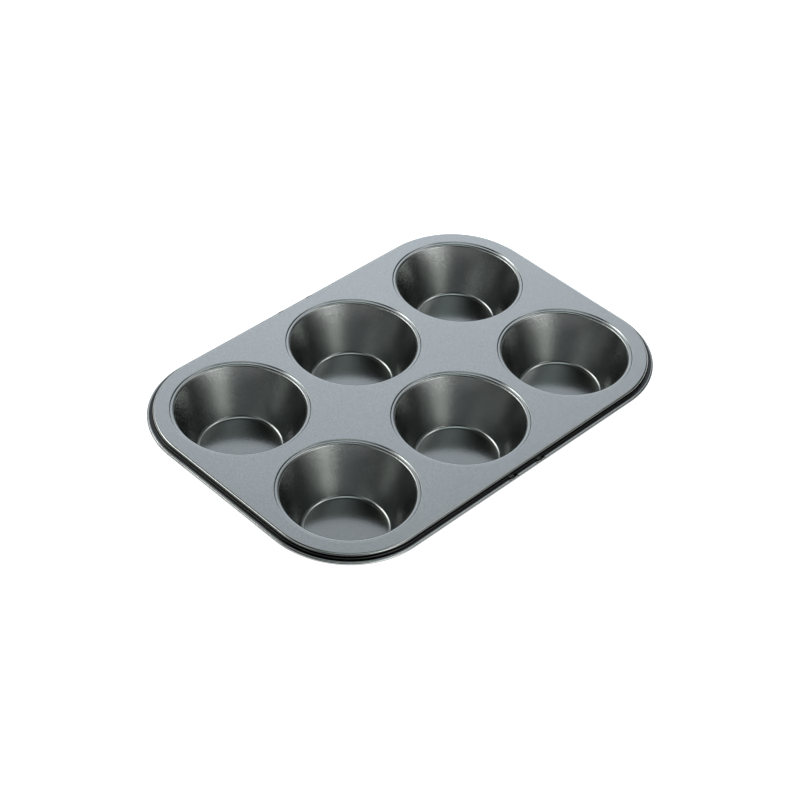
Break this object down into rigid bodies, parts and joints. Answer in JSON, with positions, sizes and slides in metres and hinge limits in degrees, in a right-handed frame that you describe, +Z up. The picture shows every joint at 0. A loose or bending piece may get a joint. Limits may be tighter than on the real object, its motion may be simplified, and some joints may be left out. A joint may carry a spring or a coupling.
{
  "type": "muffin pan",
  "caption": "Rectangular pressed-steel muffin pan with rows of round tapered cups, a flat deck with round corners and a stepped rim with a rolled edge.",
  "frame": {"origin": "centre of the pan's outline, on the plane that the cup floors stand on", "axes": "+X along the long side, +Y along the short side, +Z up out of the cup mouths"},
  "size_m": [0.2662, 0.1836, 0.0293],
  "materials": {
    "coated_steel": "grey non-stick coating, satin gloss with a fine sparkle"
  },
  "bodies": {
    "root": {"pan": "coated_steel"}
  },
  "joints": []
}
